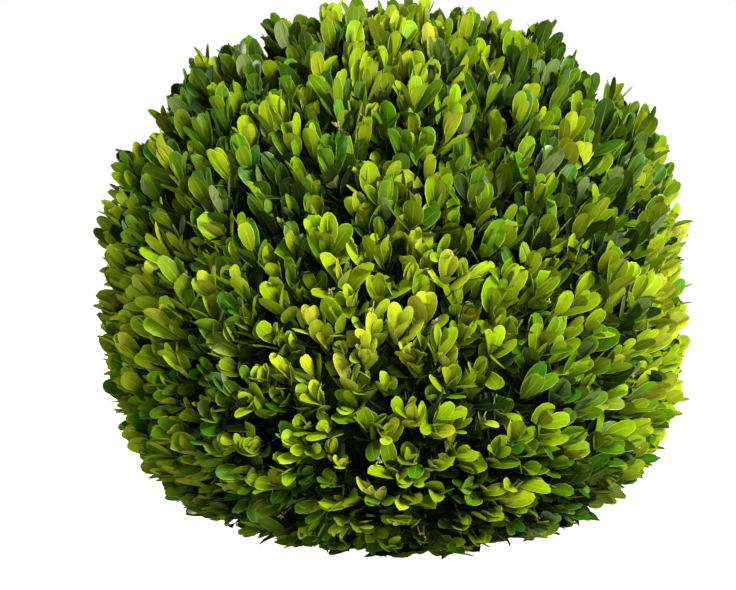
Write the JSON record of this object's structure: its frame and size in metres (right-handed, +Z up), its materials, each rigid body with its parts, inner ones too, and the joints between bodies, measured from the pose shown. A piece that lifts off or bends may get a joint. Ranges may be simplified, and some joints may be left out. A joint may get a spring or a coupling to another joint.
{
  "type": "box topiary ball",
  "caption": "Dense clipped ball of small oval box leaves on a short hidden stem, rooted in the ground.",
  "frame": {"origin": "middle of the flat cut under the main stem, at ground level", "axes": "+Z up, against the mount's outward normal; the ball is nearly round about it, and a little lower than it is wide; -Y is the front"},
  "size_m": [0.3696, 0.3662, 0.3536],
  "materials": {
    "bark": "grey-brown ridged bark, dull",
    "foliage": "small leathery leaves, satin above with pale midribs and edges, paler and duller below"
  },
  "bodies": {
    "root": {"main_stem": "bark", "foliage_ball": "foliage"}
  },
  "joints": []
}
